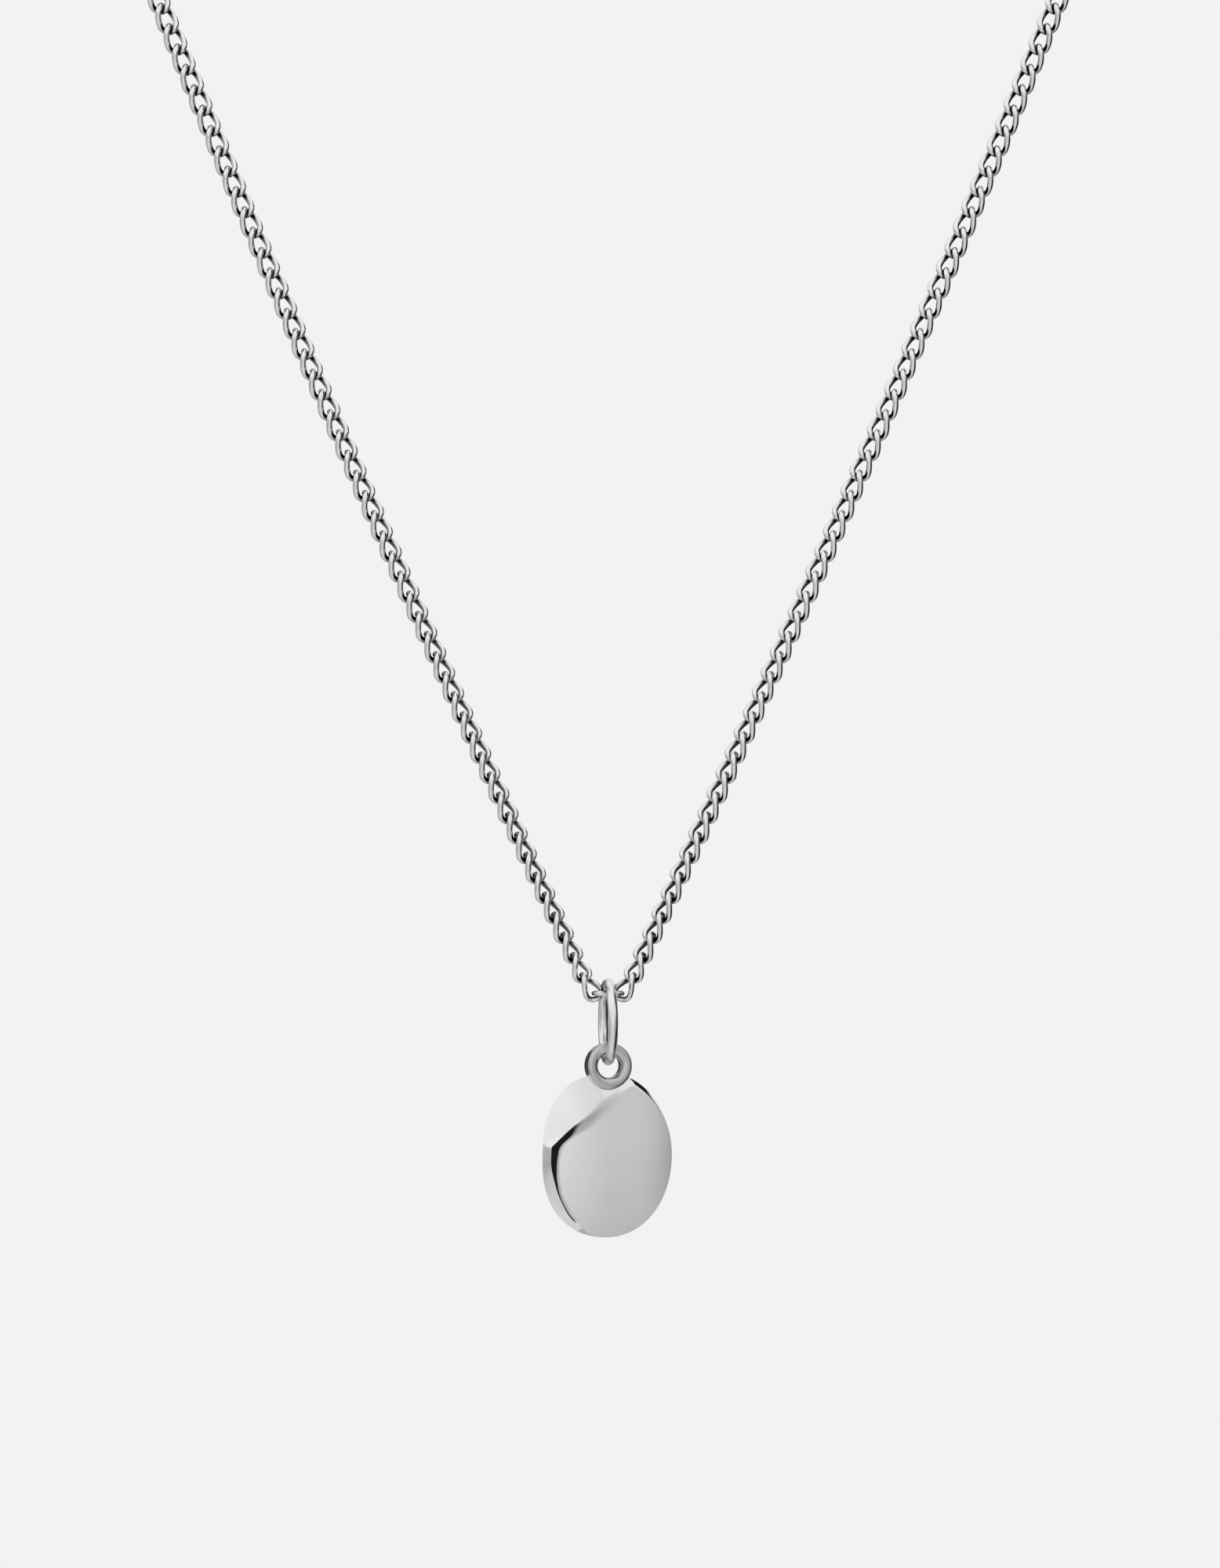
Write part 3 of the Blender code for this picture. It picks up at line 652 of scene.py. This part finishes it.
def plate_line(turn):
    """Section of the plate from the middle of its face over the edge to the middle of its back."""
    radius, step, width = crest_at(turn)
    edge = outline_radius(turn)
    c, s = math.cos(turn), math.sin(turn)
    leftness, topness = max(0.0, -c), max(0.0, s)
    inner = radius - width
    line = []
    for k in range(1, FACE_ROWS + 1):
        r = inner * k / FACE_ROWS
        line.append((r, face_depth(r * c, r * s)))
    power = STEP_POWER + STEP_POWER_MORE_ON_TOP * topness
    top = face_depth(radius * c, radius * s) + step
    drop = FACET_DROP + FACET_DROP_MORE_ON_LEFT * leftness
    blend = CREST_BLEND + CREST_BLEND_MORE_ON_TOP * topness ** 2 * (1 - min(1.0, step / SOFT_STEP))
    for r in step_radii(inner, radius, edge, min(edge - radius, width)):
        wall = face_depth(r * c, r * s) + step * max(0.0, (r - inner) / width) ** power
        facet = top - drop * (r - radius) / (edge - radius)
        line.append((r, lower_of(wall, facet, blend)))
    heel = (edge - HEEL_INSET, HEEL_RISE - BACK_DEPTH)
    sole = (edge - SOLE_INSET, -BACK_DEPTH - SOLE_DROP)
    back_break = (edge * BACK_BREAK_SHARE, -BACK_DEPTH - BACK_BREAK_CROWN)
    edge_corners = [line[-2], line[-1], heel, sole, back_break]
    line.extend(rounded(edge_corners, [BRINK_ROUND, EDGE_ROUND, SOLE_ROUND])[1:])
    for k in range(1, BACK_ROWS):
        share = BACK_BREAK_SHARE * (1 - k / BACK_ROWS)
        line.append((edge * share, -BACK_DEPTH - BACK_CROWN * (1 - share ** 2)))
    return line


def plate():
    """The plate, as sections turned round its middle."""
    lines = [plate_line(math.tau * k / DISC_TURNS) for k in range(DISC_TURNS)]
    points = []
    for k, line in enumerate(lines):
        turn = math.tau * k / DISC_TURNS
        spoke = pendant_right * math.cos(turn) + UP * math.sin(turn)
        points.extend(disc_centre + spoke * r + pendant_front * d for r, d in line)
    rows = len(lines[0])
    middle = len(points)
    points.append(disc_centre + pendant_front * face_depth(0, 0))
    points.append(disc_centre - pendant_front * (BACK_DEPTH + BACK_CROWN))
    faces = []
    for k in range(DISC_TURNS):
        near, far = k * rows, (k + 1) % DISC_TURNS * rows
        for r in range(rows - 1):
            faces.append((near + r, near + r + 1, far + r + 1, far + r))
        faces.append((middle, near, far))
        faces.append((middle + 1, far + rows - 1, near + rows - 1))
    return points, faces


disc = piece("pendant_disc_fine", plate(), plate_silver, "pendant", "pendant_disc")
disc.data.set_sharp_from_angle(angle=SHARP_ANGLE)


# Clasp
def cast(node, body):
    """A copy of a CAD piece with its facets and edges softened, as on a tumbled casting."""
    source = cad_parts[node]
    obj = bpy.data.objects.new(node + "_fine", source.data.copy())
    obj.matrix_world = source.matrix_world
    bpy.context.collection.objects.link(obj)
    remesh = obj.modifiers.new("cast", "REMESH")
    remesh.mode = "VOXEL"
    remesh.voxel_size = CAST_VOXEL
    ease = obj.modifiers.new("tumble", "SMOOTH")
    ease.factor = TUMBLE_FACTOR
    ease.iterations = TUMBLE_ROUNDS
    bpy.context.view_layer.update()
    softened = obj.evaluated_get(bpy.context.evaluated_depsgraph_get())
    mesh = bpy.data.meshes.new_from_object(softened)
    obj.modifiers.clear()
    obj.data = mesh
    mesh.shade_smooth()
    dress(obj, clasp_silver, body, node)


for node in ("end_ring", "clasp_ring"):
    low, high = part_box(node)
    centre = (Vector(low) + Vector(high)) / 2
    size = Vector(high) - Vector(low)
    second = UP if size.z > size.y else BACK
    path = circle_path(centre, RIGHT, second, CLASP_RING_RADIUS, CLASP_RING_STEPS)
    wire = tube(path, CLASP_RING_WIRE_RADIUS, CLASP_RING_WIRE_POINTS)
    piece(node + "_fine", wire, clasp_silver, "neck", node)
cast("clasp_body", "neck")
cast("clasp_lever", "lever")
coat(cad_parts["clasp_pin"], clasp_silver)
coat(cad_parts["clasp_spring"], spring_steel)


# Stage
def towards(nodes, links, direction, axis):
    """Cosine of the angle between a direction and an axis."""
    node = nodes.new("ShaderNodeVectorMath")
    node.operation = "DOT_PRODUCT"
    node.inputs[1].default_value = axis
    links.new(direction, node.inputs[0])
    return node.outputs["Value"]


def direction_from(nodes, links, centre):
    """Direction of length 1 from a centre to the place that is shaded."""
    place = nodes.new("ShaderNodeNewGeometry")
    shift = nodes.new("ShaderNodeVectorMath")
    shift.operation = "SUBTRACT"
    shift.inputs[1].default_value = centre
    links.new(place.outputs["Position"], shift.inputs[0])
    unit = nodes.new("ShaderNodeVectorMath")
    unit.operation = "NORMALIZE"
    links.new(shift.outputs["Vector"], unit.inputs[0])
    return unit.outputs["Vector"]


def front_light(nodes, links, across, height):
    """Light of the tent's front: brightest in the middle, even at the top and dimmer below."""
    share = nodes.new("ShaderNodeMapRange")
    share.inputs["From Min"].default_value = -1.0
    links.new(across, share.inputs["Value"])
    ramp = nodes.new("ShaderNodeValToRGB")
    while len(ramp.color_ramp.elements) < len(FRONT_LIGHT):
        ramp.color_ramp.elements.new(0.5)
    for element, (x, level) in zip(ramp.color_ramp.elements, FRONT_LIGHT):
        element.position = (x + 1) / 2
        element.color = grey(level)
    links.new(share.outputs["Result"], ramp.inputs["Fac"])
    dimmed = nodes.new("ShaderNodeVectorMath")
    dimmed.operation = "SCALE"
    dimmed.inputs["Scale"].default_value = LOW_FRONT_SHARE
    links.new(ramp.outputs["Color"], dimmed.inputs[0])
    tone = blended(nodes, links, height, HIGH_FRONT_SPAN, ramp.outputs["Color"], grey(HIGH_FRONT_LIGHT))
    tone = blended(nodes, links, height, LOW_FRONT_SPAN, tone, dimmed.outputs["Vector"])
    return blended(nodes, links, height, GROUND_SPAN, tone, grey(GROUND_LIGHT))


def tent_light(nodes, links, centre):
    """Light of the tent by direction: front, pale back over darker ground, bright top and dark cards."""
    direction = direction_from(nodes, links, centre)
    axes = nodes.new("ShaderNodeSeparateXYZ")
    links.new(direction, axes.inputs["Vector"])
    height = axes.outputs["Z"]
    front = front_light(nodes, links, axes.outputs["X"], height)
    back = blended(nodes, links, height, BACK_HEIGHT_SPAN, grey(LOW_BACK_LIGHT), grey(BACK_LIGHT))
    tone = blended(nodes, links, axes.outputs["Y"], FRONT_TO_BACK_SPAN, front, back)
    above = towards(nodes, links, direction, TOP_AXIS)
    tone = blended(nodes, links, above, TOP_SPAN, tone, grey(TOP_LIGHT))
    for *angles, level in DARK_CARDS:
        right, up, full, faded = (math.radians(angle) for angle in angles)
        axis = (math.sin(right) * math.cos(up), -math.cos(right) * math.cos(up), math.sin(up))
        near = towards(nodes, links, direction, axis)
        tone = blended(nodes, links, near, (math.cos(faded), math.cos(full)), tone, grey(level))
    return tone


def tent_look(centre):
    """Glowing cloth of the tent."""
    material = bpy.data.materials.new("studio_tent")
    material.use_nodes = True
    nodes, links = material.node_tree.nodes, material.node_tree.links
    nodes.remove(nodes["Principled BSDF"])
    glow = nodes.new("ShaderNodeEmission")
    links.new(tent_light(nodes, links, centre), glow.inputs["Color"])
    links.new(glow.outputs["Emission"], nodes["Material Output"].inputs["Surface"])
    return material


def paper_look():
    """Pale paper that looks like the background to the camera and in mirrors."""
    material = bpy.data.materials.new("studio_floor")
    material.use_nodes = True
    nodes, links = material.node_tree.nodes, material.node_tree.links
    paper = nodes["Principled BSDF"]
    paper.inputs["Base Color"].default_value = grey(PAPER)
    paper.inputs["Roughness"].default_value = PAPER_ROUGHNESS
    white = nodes.new("ShaderNodeEmission")
    white.inputs["Color"].default_value = grey(BACKGROUND)
    rays = nodes.new("ShaderNodeLightPath")
    seen = rays.outputs["Is Camera Ray"]
    for kind in ("Is Glossy Ray", "Is Transmission Ray"):
        either = nodes.new("ShaderNodeMath")
        either.operation = "MAXIMUM"
        links.new(seen, either.inputs[0])
        links.new(rays.outputs[kind], either.inputs[1])
        seen = either.outputs["Value"]
    mix = nodes.new("ShaderNodeMixShader")
    links.new(seen, mix.inputs["Fac"])
    links.new(paper.outputs["BSDF"], mix.inputs[1])
    links.new(white.outputs["Emission"], mix.inputs[2])
    links.new(mix.outputs["Shader"], nodes["Material Output"].inputs["Surface"])
    return material


bpy.ops.mesh.primitive_uv_sphere_add(segments=TENT_SEGMENTS, ring_count=TENT_SEGMENTS // 2,
                                     radius=TENT_RADIUS, location=disc_centre)
tent = bpy.context.object
tent.name = "studio_tent"
tent.visible_camera = False
tent.visible_shadow = False
tent.data.materials.append(tent_look(disc_centre))

bpy.ops.mesh.primitive_circle_add(vertices=FLOOR_CORNERS, radius=FLOOR_RADIUS, fill_type="NGON",
                                  location=(0, disc_centre.y, FLOOR_Z))
floor = bpy.context.object
floor.name = "studio_floor"
floor.data.materials.append(paper_look())

world = bpy.data.worlds.new("studio")
bpy.context.scene.world = world
world.use_nodes = True
world.node_tree.nodes["Background"].inputs["Color"].default_value = grey(BACKGROUND)
bpy.context.scene.view_settings.view_transform = "Standard"

# Camera
aim = v_bottom + FRAME_CENTRE
lens = bpy.data.cameras.new("photo_view")
lens.sensor_fit = "AUTO"
lens.sensor_width = SENSOR
lens.lens = SENSOR * CAMERA_DISTANCE / FRAME_HEIGHT
lens.clip_end = FARTHEST_SEEN
camera = bpy.data.objects.new("photo_view", lens)
camera.location = aim - BACK * CAMERA_DISTANCE
camera.rotation_euler = (math.radians(90), 0, 0)
bpy.context.collection.objects.link(camera)
bpy.context.scene.camera = camera
